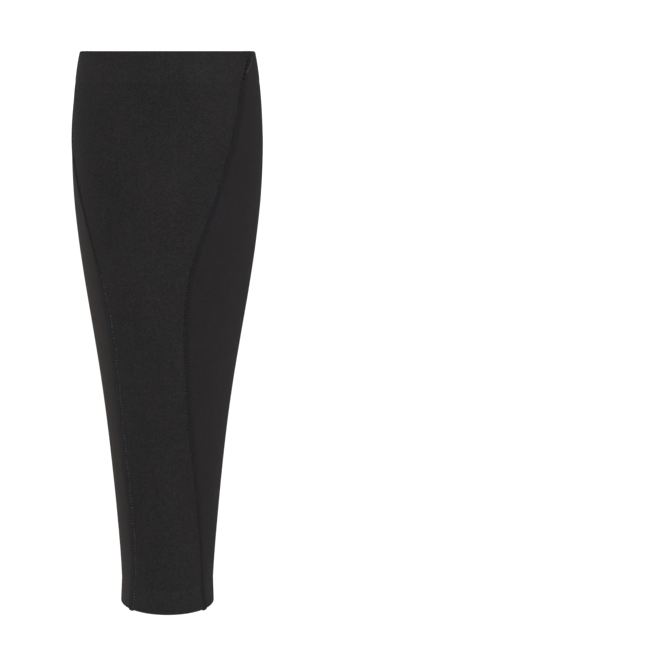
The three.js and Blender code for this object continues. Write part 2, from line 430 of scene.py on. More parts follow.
def seam_strings(place, run, across, rise, radius):
    """Strings sewn along a seam: points, faces and their places on the seam in millimetres."""
    run, across, rise = np.broadcast_arrays(run, across, rise)
    centres = place(run, across, rise)
    ups = place(run, across, rise + MM) - centres
    points, faces = strings(centres, ups, radius)
    around = len(points) // run.size
    places = np.stack([across.ravel(), run.ravel()], axis=-1).repeat(around, axis=0) / MM
    return points, faces, places


def joined(parts):
    """Several sets of points, faces and places as one."""
    points, faces, places = [], [], []
    count = 0
    for part_points, part_faces, part_places in parts:
        points.append(part_points)
        places.append(part_places)
        faces += [[number + count for number in face] for face in part_faces]
        count += len(part_points)
    return np.concatenate(points), faces, np.concatenate(places)


# Cloth


# Radius that turns an angle round the leg into a width of cloth
WALE_RADIUS = 46 * MM

# Channel that a seam lies in: width of its slope, and its distance from the seam's back edge
CHANNEL_SLOPE = 0.32 * MM
CHANNEL_MARGIN = 0.16 * MM

# Swell beside a seam: height on its back and front side, distance, width, and how it changes along the seam
SWELL_HEIGHTS = (0.04 * MM, 0.1 * MM)
SWELL_AWAY = 0.5 * MM
SWELL_WIDTH = 0.6 * MM
SWELL_BEAT = (1.3 * MM, 9 * MM)
SWELL_LEAST = 0.2

# Needle holes: depth on a seam's back and front side, length, width, and the length over which their row ends
HOLE_DEPTHS = (0.08 * MM, 0.7 * MM)
HOLE_LENGTH = 0.24 * MM
HOLE_WIDTH = 0.25 * MM
HOLE_FADE = 6 * MM

# Groove at a hem's stitch line, and the swell of its doubled cloth, which ends at two distances from the rim
GROOVE_DEPTH = 0.11 * MM
GROOVE_WIDTH = 1.1 * MM
PLUMP_HEIGHT = 0.04 * MM
PLUMP_START = 3 * MM
PLUMP_ENDS = (5 * MM, 1 * MM)

# Slow waves of the cloth: number round the leg, length and start; and the length at each rim that stays still
WAVES = [{"round": 3, "length": 21 * MM, "start": 0}, {"round": 5, "length": -33 * MM, "start": 1}]
WAVE_HEIGHT = 0.05 * MM
STILL_LENGTH = 12 * MM


def seam_relief(form, line, trace, distance):
    """How far cloth beside a seam stands out: its channel, the swell next to it and the needle holes."""
    size = form.sizes
    edge = size.seam_width / 2
    away = np.abs(distance) / form.width_share(line.side, trace)
    front = (FRONT_SIDE[line.side] * distance > 0) * 1.0
    run = line.run_at(trace)
    start = edge - mix(CHANNEL_MARGIN, size.bed_margin, front) - CHANNEL_SLOPE
    channel = -size.seam_sink * (1 - soft_step(0, 1, (away - start) / CHANNEL_SLOPE))
    swell = mix(*SWELL_HEIGHTS, front) * bell(away - edge - SWELL_AWAY, SWELL_WIDTH)
    swell = swell * mix(SWELL_LEAST, 1, beat(run, SWELL_BEAT))
    phase = (run / size.stitch) % 1 - 0.5
    open_holes = soft_step(-HOLE_FADE, 0, form.skin(trace)[0] + LIGHT_LOOPS[line.side]["holes"] * MM)
    depth = mix(HOLE_DEPTHS[0], HOLE_DEPTHS[1] * open_holes, front)
    row = edge - mix(0, size.hole_row, front)
    hole = -depth * bell(phase * size.stitch, HOLE_LENGTH) * bell(away - row, HOLE_WIDTH)
    return channel + swell + hole


def body_relief(form, trace, angle):
    """Slow unevenness of the cloth, and the shallow grooves that the hems' stitches press in."""
    grooves, plump = 0, 0
    for depth, tall in form.hem_depths(trace):
        grooves = grooves + bell(depth, GROOVE_WIDTH)
        start, stop = [tall - end for end in PLUMP_ENDS]
        plump = plump + soft_step(0, PLUMP_START, depth) * (1 - soft_step(start, stop, depth))
    low, high = trace - form.lower_rim, form.upper_rim - trace
    still = soft_step(0, STILL_LENGTH, low) * soft_step(0, STILL_LENGTH, high)
    waves = sum(np.sin(wave["round"] * angle + trace / wave["length"] + wave["start"]) for wave in WAVES)
    return PLUMP_HEIGHT * plump - GROOVE_DEPTH * grooves + WAVE_HEIGHT * waves * still


# Distance from a seam at which it no longer shapes the cloth
FAR = 9 * MM


def panel_columns(form, first, second, columns, height):
    """Angles of a panel's columns at its rows' heights, and the columns' distances from the nearest seam."""
    strip = np.array(STRIP_LINES) * MM
    height = height[:, None]
    start = form.beside_seam(first, height, strip[None, :])
    stop = form.beside_seam(second, height, -strip[None, ::-1])
    if stop[0, 0] < start[0, -1]:
        stop = stop + 2 * math.pi
    shares = np.linspace(0, 1, columns + 1)[None, 1:-1]
    field = mix(start[:, -1:], stop[:, :1], shares)
    angles = np.concatenate([start, field, stop], axis=1)
    far = np.full(columns - 1, FAR)
    return angles, np.concatenate([strip, far, -strip[::-1]])


def cloth_points(form, lines, trace, angles, distances, lift):
    """Points of the skin, with the relief of both seams and of the body over a lift given for each row."""
    first, second = lines
    half = len(distances) // 2
    relief = body_relief(form, trace[:, None], angles) + np.broadcast_to(lift, trace.shape)[:, None]
    trace = np.broadcast_to(trace[:, None], angles.shape)
    relief[:, :half] += seam_relief(form, first, trace[:, :half], distances[None, :half])
    relief[:, half:] += seam_relief(form, second, trace[:, half:], distances[None, half:])
    height, outside, out, along = form.skin(trace)
    return form.place(angles, height, outside + relief * out, relief * along)


# A panel's columns and rows, the fine rows beside its seams in each row, and the tuck of its ends at the hems
PANEL_COLUMNS = {"front_panel": 48, "back_panel": 90}
PANEL_ROWS = 182
FINE_ROWS = 6
TUCK_LENGTH = 0.5 * MM
TUCK_DEPTH = 0.15 * MM


def make_panel(form, name, first, second, material, node):
    """One layer of knit between the hems, cut finely along its seams and coarsely between them."""
    strip = len(STRIP_LINES)
    lines = (SeamLine(form, first), SeamLine(form, second))
    levels = np.linspace(form.lower_line, form.upper_line, PANEL_ROWS + 1)
    levels = np.concatenate([levels[:1] - TUCK_LENGTH, levels, levels[-1:] + TUCK_LENGTH])
    rows = len(levels) - 1
    trace = np.interp(np.arange(rows * FINE_ROWS + 1) / FINE_ROWS, np.arange(rows + 1), levels)
    angles, distances = panel_columns(form, first, second, PANEL_COLUMNS[node], form.skin(trace)[0])
    hidden = sum(soft_step(0, TUCK_LENGTH, depth) for depth, _ in form.hem_depths(trace))
    outer = cloth_points(form, lines, trace, angles, distances, -TUCK_DEPTH * hidden)
    coarse = slice(None, None, FINE_ROWS)
    inner = form.place(angles[coarse], form.skin(trace[coarse])[0][:, None], -form.sizes.fabric)
    places = np.stack([angles * WALE_RADIUS, np.broadcast_to(trace[:, None], angles.shape)], axis=-1) / MM

    numbers = np.full(outer.shape[:2], -1)
    numbers[:, :strip] = 0
    numbers[:, -strip:] = 0
    numbers[coarse] = 0
    kept = numbers == 0
    numbers[kept] = np.arange(kept.sum())
    inner_numbers = kept.sum() + np.arange(inner.shape[0] * inner.shape[1]).reshape(inner.shape[:2])
    points = np.concatenate([outer[kept], inner.reshape(-1, 3)])
    coordinates = np.concatenate([places[kept], places[coarse].reshape(-1, 2)])

    faces = grid_quads(numbers[:, :strip]).tolist()
    faces += grid_quads(numbers[:, -strip:]).tolist()
    faces += grid_quads(numbers[coarse, strip:-strip]).tolist()
    faces += grid_quads(inner_numbers)[:, ::-1].tolist()
    for row in range(rows):
        low, high = row * FINE_ROWS, (row + 1) * FINE_ROWS
        left, right = numbers[low : high + 1, strip - 1], numbers[low : high + 1, -strip]
        faces.append([*left[::-1], numbers[low, strip], numbers[high, strip]])
        faces.append([*right, numbers[high, -strip - 1], numbers[low, -strip - 1]])
        first_edge, last_edge = numbers[low : high + 1, 0], numbers[low : high + 1, -1]
        faces.append([*first_edge, inner_numbers[row + 1, 0], inner_numbers[row, 0]])
        faces.append([*last_edge[::-1], inner_numbers[row, -1], inner_numbers[row + 1, -1]])
    low_end = np.stack([inner_numbers[0], numbers[0]])
    high_end = np.stack([numbers[-1], inner_numbers[-1]])
    faces += grid_quads(low_end).tolist() + grid_quads(high_end).tolist()
    faces = [[int(number) for number in face] for face in faces]
    return new_piece(name, points, faces, coordinates, [material], [node])


# Length of a fine row of a hem or of a seam's bed
FINE_STEP = 0.3 * MM

# A hem: columns of its front and back, how far it starts before its stitch line, its lift over the panels,
# and the gap behind the cloth
HEM_COLUMNS = {"front": 40, "back": 70}
HEM_START = 0.05 * MM
HEM_RAISE = 0.02 * MM
HEM_GAP = 0.2 * MM


def make_hem(form, name, up, materials, node):
    """Cloth turned in over a rim, with its raw edge behind the panels' ends."""
    size = form.sizes
    near = form.upper_line if up > 0 else form.lower_line
    far = form.trace[-1] if up > 0 else form.trace[0]
    rows = int(abs(far - near) / FINE_STEP)
    trace = np.linspace(near - up * HEM_START, far, rows + 1)
    lines = {side: SeamLine(form, side) for side in ("left", "right")}
    height = form.skin(trace)[0]
    front, front_away = panel_columns(form, "left", "right", HEM_COLUMNS["front"], height)
    back, back_away = panel_columns(form, "right", "left", HEM_COLUMNS["back"], height)
    skin = np.concatenate(
        [
            cloth_points(form, (lines["left"], lines["right"]), trace, front, front_away, HEM_RAISE),
            cloth_points(form, (lines["right"], lines["left"]), trace, back, back_away, HEM_RAISE),
        ],
        axis=1,
    )
    angles = np.concatenate([front, back], axis=1)
    behind = -size.fabric - HEM_GAP
    lap = form.place(angles[-1], height[-1], behind)
    seat = form.place(angles[0], height[0], behind)
    points = np.concatenate([skin, lap[None], seat[None]])
    rows, columns = points.shape[:2]
    numbers = np.arange(rows * columns).reshape(rows, columns)
    numbers = np.concatenate([numbers, numbers[:1]])
    numbers = np.concatenate([numbers, numbers[:, :1]], axis=1)
    faces = grid_quads(numbers)
    wide = np.concatenate([angles, angles[:, :1] + 2 * math.pi], axis=1)
    wide = np.concatenate([wide, wide[-1:], wide[:1], wide[:1]])
    heights = np.concatenate([trace, trace[-1:] + size.fabric, trace[:1] - size.fabric, trace[:1]])
    places = np.stack([wide * WALE_RADIUS, np.broadcast_to(heights[:, None], wide.shape)], axis=-1) / MM
    flat = places.reshape(-1, 2)
    spread = grid_quads(np.arange(len(flat)).reshape(wide.shape))
    choices = np.broadcast_to(np.arange(columns) >= front.shape[1], (rows, columns)).ravel()
    if up < 0:
        faces, spread = faces[:, ::-1], spread[:, ::-1]
    return new_piece(
        name, points, faces.tolist(), flat[spread.ravel()], materials, [node], choices.astype(int)
    )


# Seams


# Bed of a flat seam: its columns, how far it spreads, height at its edges and middle, height of its ribs,
# and height of its underside over the channel's floor
BED_COLUMNS = 13
BED_SPREAD = 1.02
BED_RISE = (-0.34 * MM, 0.12 * MM)
RIB_HEIGHT = 0.05 * MM
BED_FLOOR = 0.08 * MM

# How far a bed is pressed down at the upper rim and bulges at the lower one, and over which length
UPPER_PRESS = 0.35 * MM
LOWER_BULGE = 0.4 * MM
RIM_LENGTH = 2.5 * MM

# Shares of a stitch, or of a needle hole's blob of painted shade, at which its string bends
BENDS = np.linspace(0, 1, 6)[None, :]
HOLE_BENDS = np.linspace(0, 1, 5)[None, :]

# Shares of a stitch between which each kind of thread runs
STITCH_SPANS = {
    "needle": (0.06, 0.94),
    "inner": (0.04, 0.98),
    "edge": (0.15, 0.5),
    # hole: a nearly black blob of painted shade in a needle hole
    "hole": (0.44, 0.56),
    "loop": (0.87, 1.12),
    "hem": (0.14, 0.86),
}

# Radius of each kind of thread next to the sewing thread's thickness
RADII = {"needle": 0.5, "inner": 0.4, "cover": 0.42, "edge": 0.45, "hem": 0.4, "raw_edge": 0.45}

# Rows of stitches over and behind a seam, in shares of its half width; their least and largest height over
# the cloth next to the thread's thickness; and how far the inner loops bow
NEEDLE_ROWS = (-0.7, -0.23, 0.23, 0.7)
NEEDLE_RISE = (-0.5, 0.45)
INNER_ROWS = (-0.75, -0.25, 0.25, 0.75)
INNER_RISE = (-0.3, 0.4)
INNER_BOW = 0.17 * MM

# Zigzag thread: its reach next to the bed's half width, its height next to the thread's thickness, and the
# points of each turn
COVER_REACH = 0.9
COVER_RISE = 0.3
TURN_POINTS = 4

# Edge loops: how far they start inside the bed's edge and stop outside it, and the height of their arch
EDGE_INSIDE = 0.7 * MM
EDGE_OUTSIDE = 0.05 * MM
EDGE_ARCH = 0.1 * MM

# Painted shade in the needle holes, as dark blobs: least and largest radius and height, and their row's
# distance from the lower and upper rim
HOLE_RADII = (0.24 * MM, 0.5 * MM)
HOLE_RISE = (-0.4 * MM, -0.16 * MM)
HOLE_MARGINS = (2 * MM, 17 * MM)

# Painted shade in the gaps in the upper hem, as dark blobs: places from the seam's middle, half length,
# radius, and least and largest height
GAP_PLACES = (0.3 * MM, 0.7 * MM, 1.1 * MM, 1.5 * MM)
GAP_HALF = 0.5 * MM
GAP_RADIUS = 0.44 * MM
GAP_RISE = (-0.25 * MM, 0)

# Light loops: least and largest height, and the reach and length of their sway along and across the seam
LOOP_RISE = (-0.12 * MM, 0.14 * MM)
LOOP_SWAY_ALONG = (0.3 * MM, 2.3 * MM)
LOOP_SWAY_ACROSS = (0.25 * MM, 3.1 * MM)

# Light cord, in millimetres. top, low: its ends below the upper rim. outside: its distance from the seam's
# edge. inside: from the seam's middle at its lower end. lean: how far its top leans in.
CORD = {"top": 3, "low": 14.5, "outside": 0.5, "inside": -0.2, "lean": 0.4, "rise": 0.15, "sunk": -0.6}
CORD_RADIUS = 0.5 * MM
CORD_POINTS = 48

# Shares of the cord over which it runs in under the seam, sinks at both ends and leans in
CORD_INWARDS = (0.5, 1)
CORD_SINKS = ((0.8, 1), (0.12, 0))
CORD_LEANS = (0.3, 0)


def bed_rise(line, run, across):
    """Height of a seam's thread bed over the cloth."""
    form = line.form
    share = (across - line.bed_middle) / (BED_SPREAD * line.bed_half)
    trace = np.interp(run, line.runs, form.trace)
    press = UPPER_PRESS * bell(trace - form.upper_rim, RIM_LENGTH)
    bulge = LOWER_BULGE * bell(trace - form.lower_rim, RIM_LENGTH)
    return mix(*BED_RISE, np.sqrt(np.clip(1 - share**4, 0, 1))) - press + bulge


def sew(line, name, parts, material):
    """One piece of all the strings of one kind along a seam."""
    points, faces, places = joined(parts)
    return new_piece(f"seam_{line.side}_{name}", points, faces, places, [material], [])


def stitch_starts(line):
    """Runs at which the stitches of a seam start."""
    stitch = line.form.sizes.stitch
    return np.arange(1, int(line.runs[-1] / stitch) - 1) * stitch


def stitch_runs(line, starts, kind, bends=BENDS):
    """Runs of the bends in one kind of thread, from where its stitches start."""
    return starts[:, None] + line.form.sizes.stitch * mix(*STITCH_SPANS[kind], bends)


def make_band(line, material):
    """The bed of a flat seam: closely laid threads with a rib for each crossing."""
    size = line.form.sizes
    steps = int(line.runs[-1] / FINE_STEP)
    run = np.linspace(FINE_STEP, line.runs[-1] - FINE_STEP, steps)[:, None]
    across = line.bed_middle + line.bed_half * np.linspace(-1, 1, BED_COLUMNS)[None, :]
    slant = np.abs(across - line.bed_middle) / line.bed_half
    ribs = RIB_HEIGHT * np.sin(2 * math.pi * (2 * run / size.stitch + slant)) * (1 - slant**2)
    top = line.point(run, across, bed_rise(line, run, across) + ribs)
    bed = line.point(run, across, -size.seam_sink + BED_FLOOR + 0 * across)
    points = np.stack([top, bed])
    numbers = np.arange(points[..., 0].size).reshape(points.shape[:3])
    faces = np.concatenate(
        [
            grid_quads(numbers[0]),
            grid_quads(numbers[1])[:, ::-1],
            grid_quads(numbers[::-1, :, 0].T),
            grid_quads(numbers[:, :, -1].T),
            grid_quads(numbers[::-1, 0, :])[:, ::-1],
            grid_quads(numbers[:, -1, :])[:, ::-1],
        ]
    )
    places = np.stack(np.broadcast_arrays(across, run), axis=-1).reshape(-1, 2) / MM
    places = np.tile(places, (2, 1))
    node = f"seam_{line.side}"
    return new_piece(f"{node}_bed", points, faces.tolist(), places, [material], [node])


def make_needle_rows(line, material):
    """Rows of straight stitches along a flat seam, each dipping into the cloth at its ends."""
    thread = line.form.sizes.thread
    run = stitch_runs(line, stitch_starts(line), "needle")
    arch = 1 - (2 * BENDS - 1) ** 4
    parts = []
    for place in NEEDLE_ROWS:
        across = line.bed_middle + place * line.bed_half
        rise = bed_rise(line, run, across) + thread * mix(*NEEDLE_RISE, arch)
        parts.append(seam_strings(line.point, run, across, rise, RADII["needle"] * thread))
    return sew(line, "needle_rows", parts, material)


def make_inner_rows(line, material):
    """Rows of loops that show on the cloth's inner face behind a flat seam."""
    form = line.form
    size = form.sizes
    low, high = line.run_at(np.array([form.lower_line + size.hem_lap, form.upper_line - size.hem_lap]))
    run = stitch_runs(line, np.arange(low, high - size.stitch, size.stitch), "inner")
    bow = np.sin(math.pi * BENDS)
    rise = size.thread * mix(*INNER_RISE, bow)
    parts = []
    for place in INNER_ROWS:
        for way in (-1, 1):
            across = place * size.seam_width / 2 + way * INNER_BOW * bow
            parts.append(seam_strings(line.inner_point, run, across, rise, RADII["inner"] * size.thread))
    return sew(line, "inner_rows", parts, material)


def make_cover_thread(line, material):
    """The thread that zigzags over the whole width of a flat seam."""
    size = line.form.sizes
    turns = int(line.runs[-1] / size.stitch) * 2 - 4
    step = np.linspace(0, turns, turns * TURN_POINTS + 1)[None]
    swing = 2 * np.abs(step % 2 - 1) - 1
    run = size.stitch * (1 + step / 2)
    across = line.bed_middle + swing * COVER_REACH * line.bed_half
    rise = bed_rise(line, run, across) + COVER_RISE * size.thread
    thread = seam_strings(line.point, run, across, rise, RADII["cover"] * size.thread)
    return sew(line, "cover_thread", [thread], material)


def make_edge_loops(line, material):
    """Short loops along both edges of the seam's bed that go down into the cloth."""
    run = stitch_runs(line, stitch_starts(line), "edge")
    arch = EDGE_ARCH * (np.sin(math.pi * BENDS) - BENDS**4)
    parts = []
    for way in (-1, 1):
        across = line.bed_middle + way * (line.bed_half + mix(-EDGE_INSIDE, EDGE_OUTSIDE, BENDS))
        rise = bed_rise(line, run, across) + arch
        parts.append(seam_strings(line.point, run, across, rise, RADII["edge"] * line.form.sizes.thread))
    return sew(line, "edge_loops", parts, material)


def make_hole_shades(line, material):
    """Dark blobs of painted shade in the needle holes along the front panel, and in the gaps in the upper
    hem.
    """
    form = line.form
    size = form.sizes
    front = FRONT_SIDE[line.side]
    starts = stitch_starts(line)
    trace = np.interp(starts, line.runs, form.trace)
    low, high = HOLE_MARGINS
    bare = (trace > form.lower_rim + low) & (trace < form.upper_rim - high)
    starts = starts[bare & (form.skin(trace)[0] > -LIGHT_LOOPS[line.side]["holes"] * MM)]
    arch = np.sin(math.pi * HOLE_BENDS)
    run = stitch_runs(line, starts, "hole", HOLE_BENDS)
    across = front * (size.seam_width / 2 - size.hole_row)
    radius = uneven(starts, *HOLE_RADII)[:, None, None, None]
    parts = [seam_strings(line.point, run, across, mix(*HOLE_RISE, arch), radius)]
    gaps = line.run_at(form.upper_rim - np.array(HEM_GAPS) * MM)
    run = gaps[:, None] + GAP_HALF * (2 * HOLE_BENDS - 1)
    for place in GAP_PLACES:
        parts.append(seam_strings(line.point, run, front * place, mix(*GAP_RISE, arch), GAP_RADIUS))
    return sew(line, "hole_shades", parts, material)


def sway(run, swing):
    """Slow swing along a run, of a reach and a length."""
    reach, swing_length = swing
    return reach * np.sin(run / swing_length)


def make_light_loops(line, material):
    """Small light loops at the needle holes of a seam's lower part, where the front panel meets it."""
    form = line.form
    loops = LIGHT_LOOPS[line.side]
    starts = stitch_starts(line)
    height = form.skin(np.interp(starts, line.runs, form.trace))[0]
    starts = starts[(starts > line.run_at(form.lower_rim)) & (height < -loops["below"] * MM)]
    run = stitch_runs(line, starts + sway(starts, LOOP_SWAY_ALONG), "loop")
    shift = form.sizes.seam_width / 2 + sway(starts, LOOP_SWAY_ACROSS)[:, None]
    across = FRONT_SIDE[line.side] * (shift + MM * mix(loops["start"], loops["stop"], BENDS))
    rise = mix(*LOOP_RISE, np.sin(math.pi * BENDS))
    radius = uneven(starts + MM, *loops["radius"])[:, None, None, None] * MM
    return sew(line, "light_loops", [seam_strings(line.point, run, across, rise, radius)], material)


def make_fold_cord(line, material):
    """Raised fold of cloth beside a seam in the upper hem, which runs in under the seam at its lower end; its
    colour carries a painted highlight.
    """
    form = line.form
    share = np.linspace(0, 1, CORD_POINTS)[None]
    top, low = line.run_at(form.upper_rim - np.array([CORD["top"], CORD["low"]]) * MM)
    outside = form.sizes.seam_width / 2 + CORD["outside"] * MM
    across = mix(outside, CORD["inside"] * MM, soft_step(*CORD_INWARDS, share))
    across = across - CORD["lean"] * MM * soft_step(*CORD_LEANS, share)
    sunk = sum(soft_step(*span, share) for span in CORD_SINKS)
    rise = mix(CORD["rise"] * MM, CORD["sunk"] * MM, sunk)
    run = mix(top, low, share)
    cord = seam_strings(line.point, run, -FRONT_SIDE[line.side] * across, rise, CORD_RADIUS)
    return sew(line, "fold_cord", [cord], material)


# Stitches of a hem: least and largest height in its groove, half width of the zigzag over its raw edge,
# their gap to the cloth, and the part of a swing over which the thread goes over the edge
HEM_RISE = (-0.45 * MM, -0.18 * MM)
ZIGZAG_HALF = 1.3 * MM
ZIGZAG_GAP = 0.12 * MM
ZIGZAG_CLIMB = (-0.4, 0.4)
ZIGZAG_POINTS = 8


def make_hem_stitches(form, name, up, material):
    """Small stitches in a hem's groove, and the thread that zigzags over its raw edge inside."""
    size = form.sizes
    if up > 0:
        line_height = size.calf_to_upper_rim - size.upper_hem
    else:
        line_height = size.lower_hem - size.calf_to_lower_rim
    across, _ = form.half_axes(0, line_height)
    count = int(2 * math.pi * across / size.hem_stitch)
    step = 2 * math.pi / count
    angle = (np.arange(count)[:, None] + mix(*STITCH_SPANS["hem"], BENDS)) * step
    rise = mix(*HEM_RISE, 1 - (2 * BENDS - 1) ** 4)
    outer = form.place(angle, line_height, rise)
    outer_up = form.place(angle, line_height, rise + MM) - outer
    turns = np.linspace(0, count, count * ZIGZAG_POINTS + 1)[None, :-1]
    swing = 2 * np.abs((turns * 2) % 2 - 1) - 1
    edge_height = line_height - up * size.hem_lap + up * swing * ZIGZAG_HALF
    beyond = soft_step(*ZIGZAG_CLIMB, swing)
    depth = mix(-size.fabric, -2 * size.fabric, beyond) - ZIGZAG_GAP
    inner = form.place(turns * step, edge_height, depth)
    inner_up = form.place(turns * step, edge_height, depth - MM) - inner
    parts = []
    rows = ((outer, outer_up, "hem", angle), (inner, inner_up, "raw_edge", turns * step))
    for centres, ups, kind, wide in rows:
        points, faces = strings(centres, ups, RADII[kind] * size.thread)
        sides = len(points) // wide.size
        places = np.stack([wide.ravel() * WALE_RADIUS, 0 * wide.ravel()], axis=-1).repeat(sides, axis=0) / MM
        parts.append((points, faces, places))
    points, faces, places = joined(parts)
    return new_piece(name, points, faces, places, [material], [])


# Finishes


# Strength of every finish's bump
BUMP_STRENGTH = 0.8


class Graph:
    """A material's shader nodes."""

    def __init__(self, name):
        self.material = bpy.data.materials.new(name)
        self.material.use_nodes = True
        self.tree = self.material.node_tree
        self.tree.nodes.clear()

    def add(self, kind, inputs=None, **settings):
        """Adds a node, with links or values for its inputs."""
        node = self.tree.nodes.new(kind)
        for name, value in settings.items():
            setattr(node, name, value)
        for name, value in (inputs or {}).items():
            if isinstance(value, bpy.types.NodeSocket):
                self.tree.links.new(value, node.inputs[name])
            else:
                node.inputs[name].default_value = value
        return node

    def math(self, operation, *values):
        """Adds a math node."""
        return self.add("ShaderNodeMath", dict(enumerate(values)), operation=operation).outputs[0]

    def scaled(self, across, along):
        """The cloth's own coordinates in millimetres, divided by a width and a length."""
        place = self.add("ShaderNodeUVMap", uv_map="knit").outputs["UV"]
        scale = (1 / across, 1 / along, 1)
        return self.add("ShaderNodeVectorMath", {0: place, 1: scale}, operation="MULTIPLY").outputs[0]

    def specks(self, size):
        """Places in space, divided by a size."""
        place = self.add("ShaderNodeTexCoord").outputs["Object"]
        return self.add("ShaderNodeVectorMath", {0: place, "Scale": 1 / size}, operation="SCALE").outputs[0]

    def cells(self, vector):
        """A chance value from 0 to 1 for each small cell."""
        cells = self.add("ShaderNodeTexVoronoi", {"Vector": vector, "Scale": 1}).outputs["Color"]
        return self.add("ShaderNodeSeparateColor", {0: cells}).outputs[0]

    def noise(self, vector, detail):
        """Noise from 0 to 1."""
        return self.add("ShaderNodeTexNoise", {"Vector": vector, "Scale": 1, "Detail": detail}).outputs[0]

    def swayed(self, middle, *swings):
        """A middle value, moved by values from 0 to 1 that have a gain each."""
        for value, gain in swings:
            middle = self.math("MULTIPLY_ADD", self.math("SUBTRACT", value, 0.5), gain, middle)
        return middle

    def mixed(self, share, first, second):
        """Blend of two colours, each a fixed colour or another blend."""
        blend = self.add("ShaderNodeMix", data_type="RGBA")
        factor, start, stop = [socket for socket in blend.inputs if socket.enabled]
        self.tree.links.new(share, factor)
        for socket, paint in ((start, first), (stop, second)):
            if isinstance(paint, bpy.types.NodeSocket):
                self.tree.links.new(paint, socket)
            else:
                socket.default_value = (*paint, 1)
        return [socket for socket in blend.outputs if socket.enabled][0]

    def finish(self, colour_out, height, depth, **shader):
        """Ends the graph in a cloth shader with a colour and a bumped height."""
        bump = self.add("ShaderNodeBump", {"Height": height, "Distance": depth, "Strength": BUMP_STRENGTH})
        inputs = {"Base Color": colour_out, "Normal": bump.outputs[0], **shader}
        cloth = self.add("ShaderNodeBsdfPrincipled", inputs)
        self.add("ShaderNodeOutputMaterial", {"Surface": cloth.outputs[0]})
        return self.material


# Sizes of the grain's specks and dots, strength of the dots next to the specks', and detail of the specks
SPECK_SIZE = 0.44 * MM
DOT_SIZE = 0.5 * MM
DOT_SHARE = 0.75
SPECK_DETAIL = 2

# Slower noise in the knit: width and length in millimetres, detail, and gain in the shade, tint or height
KNIT_NOISE = {
    "fibre": {"width": 0.35, "length": 0.5, "detail": 3, "gain": 0.4},
    "streaks": {"width": 1.6, "length": 30, "detail": 2, "gain": 0.3},
    "patches": {"width": 30, "length": 60, "detail": 2, "gain": 0.55},
    "tints": {"width": 6, "length": 7, "detail": 4, "gain": 3},
    "regions": {"width": 22, "length": 48, "detail": 1, "gain": 2},
}

# The knit's loops: slant of their legs, sharpness of the gaps between them, gain of the painted shade in the
# gaps, and bump
LOOP_SLANT = 1.4
GAP_POWER = 4
LOOP_PAINTED_SHADE = 0.3
KNIT_BUMP = 0.18 * MM

# Mean share of cool fibres, how much smoother light grains are, and the sheen next to the shine
COOL_SHARE = 0.4
GRAIN_SMOOTHNESS = 0.2
SHEEN_SHARE = 0.15
SHEEN_ROUGHNESS = 0.4


def knit_finish(name, paints, grain, wale, course, shine):
    """Fine elastic knit: rows of V-shaped loops, with a grain of lighter, darker and cooler fibres."""
    graph = Graph(name)
    dark, light, cool = paints
    loops = graph.add("ShaderNodeSeparateXYZ", {0: graph.scaled(wale, course)})
    leg = graph.math("ABSOLUTE", graph.math("SUBTRACT", graph.math("FRACT", loops.outputs[0]), 0.5))
    wave = graph.math("MULTIPLY_ADD", leg, LOOP_SLANT, loops.outputs[1])
    loop = graph.math("SINE", graph.math("MULTIPLY", wave, 2 * math.pi))
    gap = graph.math("SUBTRACT", 1, graph.math("POWER", graph.math("MULTIPLY", leg, 2), GAP_POWER))
    knit = graph.math("MULTIPLY", graph.math("MULTIPLY_ADD", loop, 0.5, 0.5), gap)
    grains = graph.noise(graph.specks(SPECK_SIZE), SPECK_DETAIL)
    dots = graph.cells(graph.specks(DOT_SIZE))
    slow = {
        kind: (graph.noise(graph.scaled(row["width"], row["length"]), row["detail"]), row["gain"])
        for kind, row in KNIT_NOISE.items()
    }
    fine = ((grains, grain), (dots, DOT_SHARE * grain))
    # The knit's loops paint their tops lighter and the gaps between them darker: painted shade that follows
    # the bump
    shade = graph.swayed(0.5, *fine, slow["streaks"], slow["patches"], (knit, LOOP_PAINTED_SHADE))
    tint = graph.swayed(COOL_SHARE, slow["tints"], slow["regions"])
    paint = graph.mixed(tint, graph.mixed(shade, dark, light), graph.mixed(shade, dark, cool))
    height = graph.math("MULTIPLY_ADD", *slow["fibre"], knit)
    shader = {
        "Roughness": graph.math("MULTIPLY_ADD", grains, -GRAIN_SMOOTHNESS, 1),
        "Specular IOR Level": shine,
        "Sheen Weight": SHEEN_SHARE * shine,
        "Sheen Roughness": SHEEN_ROUGHNESS,
    }
    return graph.finish(paint, height, KNIT_BUMP, **shader)


# Thread: width and length of its grain and its ply in millimetres, gain of the grain and of the ply's painted
# shade, and bump
GRAIN_WIDTHS = (0.5, 0.9)
PLY_WIDTHS = (0.22, 0.3)
THREAD_GRAIN = 1.6
PLY_PAINTED_SHADE = 0.1
THREAD_BUMP = 0.05 * MM
THREAD_SHADER = {
    "Roughness": 0.75,
    "Specular IOR Level": 0.06,
    "Sheen Weight": 0.004,
    "Sheen Roughness": SHEEN_ROUGHNESS,
}


def thread_finish(name, paints):
    """Twisted thread with a soft shine."""
    graph = Graph(name)
    grains = graph.noise(graph.scaled(*GRAIN_WIDTHS), SPECK_DETAIL)
    ply = graph.add("ShaderNodeSeparateXYZ", {0: graph.scaled(*PLY_WIDTHS)})
    twist = graph.math("SINE", graph.math("MULTIPLY", graph.math("ADD", *ply.outputs[:2]), 2 * math.pi))
    # The ply's twist paints its ridges lighter and its grooves darker: painted shade that follows the bump
    shade = graph.math("MULTIPLY_ADD", twist, PLY_PAINTED_SHADE, graph.swayed(0.5, (grains, THREAD_GRAIN)))
    return graph.finish(graph.mixed(shade, *paints), twist, THREAD_BUMP, **THREAD_SHADER)


